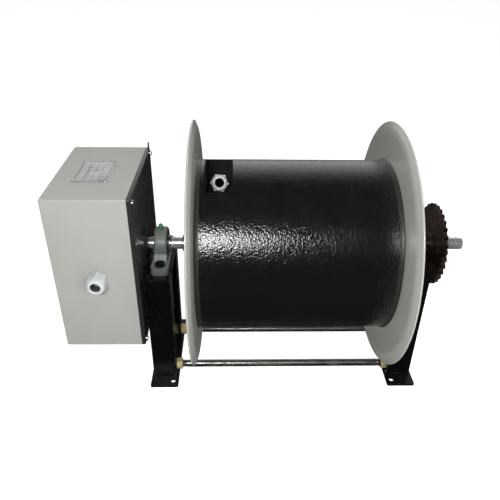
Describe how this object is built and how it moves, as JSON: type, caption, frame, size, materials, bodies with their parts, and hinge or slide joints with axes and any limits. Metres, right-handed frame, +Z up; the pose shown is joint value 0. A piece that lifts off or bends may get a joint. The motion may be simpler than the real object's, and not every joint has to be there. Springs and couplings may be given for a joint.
{
  "type": "cable reel with slip-ring box",
  "caption": "Cable drum with two flared flanges on a hollow shaft in pillow blocks, with a chain sprocket at one end and a boxed slip ring at the other, on two tied stands.",
  "frame": {"origin": "on the floor, under the middle of the object's box", "axes": "+X along the shaft from the slip-ring box to the sprocket, +Y to the rear, +Z up"},
  "size_m": [0.8168, 0.5, 0.55],
  "materials": {
    "cream_paint": "gloss",
    "box_paint": "satin",
    "black_paint": "gloss",
    "bright_steel": "satin",
    "rod_steel": "satin",
    "bearing_steel": "satin",
    "yellow_zinc": "satin",
    "bright_zinc": "satin",
    "blackened_steel": "satin",
    "painted_casting": "satin",
    "green_plastic": "satin",
    "white_nylon": "satin",
    "black_rubber": "matte",
    "plate_foil": "satin",
    "oiled_steel": "satin",
    "insulator": "matte",
    "ring_brass": "polished",
    "carbon": "matte"
  },
  "bodies": {
    "frame": {"back_plate": "black_paint", "box_gland_body": "white_nylon", "box_gland_locknut": "white_nylon", "box_gland_nut": "white_nylon", "box_gland_seal": "black_rubber", "brush_holder": "insulator", "carbon_brush_1": "carbon", "carbon_brush_2": "carbon", "carbon_brush_3": "carbon", "carbon_brush_4": "carbon", "cover_gasket": "black_rubber", "cover_screw_lower_front": "bright_zinc", "cover_screw_lower_rear": "bright_zinc", "cover_screw_upper_front": "bright_zinc", "cover_screw_upper_rear": "bright_zinc", "left_bearing_bolt_front": "blackened_steel", "left_bearing_bolt_rear": "blackened_steel", "left_bearing_housing": "painted_casting", "left_bearing_outer_ring": "bearing_steel", "left_grease_cap": "green_plastic", "left_stand": "black_paint", "name_plate": "plate_foil", "right_bearing_bolt_front": "blackened_steel", "right_bearing_bolt_rear": "blackened_steel", "right_bearing_housing": "painted_casting", "right_bearing_outer_ring": "bearing_steel", "right_grease_cap": "green_plastic", "right_stand": "black_paint", "ring_box_cover": "box_paint", "shaft_seal": "black_rubber", "terminal_block": "insulator", "tie_nut_front_left_inner": "yellow_zinc", "tie_nut_front_left_outer": "yellow_zinc", "tie_nut_front_right_inner": "yellow_zinc", "tie_nut_front_right_outer": "yellow_zinc", "tie_nut_rear_left_inner": "yellow_zinc", "tie_nut_rear_left_outer": "yellow_zinc", "tie_nut_rear_right_inner": "yellow_zinc", "tie_nut_rear_right_outer": "yellow_zinc", "tie_rod_front": "rod_steel", "tie_rod_rear": "rod_steel"},
    "reel": {"barrel": "black_paint", "cable_pocket": "black_paint", "drum_gland_body": "white_nylon", "drum_gland_nut": "white_nylon", "drum_gland_seal": "black_rubber", "left_bearing_inner_ring": "bearing_steel", "left_flange": "cream_paint", "left_hub": "bright_steel", "right_bearing_inner_ring": "bearing_steel", "right_flange": "cream_paint", "right_hub": "bright_steel", "shaft": "bright_steel", "slip_ring_1": "ring_brass", "slip_ring_2": "ring_brass", "slip_ring_3": "ring_brass", "slip_ring_4": "ring_brass", "slip_ring_core": "insulator", "sprocket": "oiled_steel", "sprocket_key": "bright_steel"}
  },
  "joints": [
    {"name": "reel_spin", "type": "hinge", "parent": "frame", "child": "reel", "pos_m": [0.0454, 0, 0.3], "axis": [1, 0, 0], "continuous": true}
  ]
}
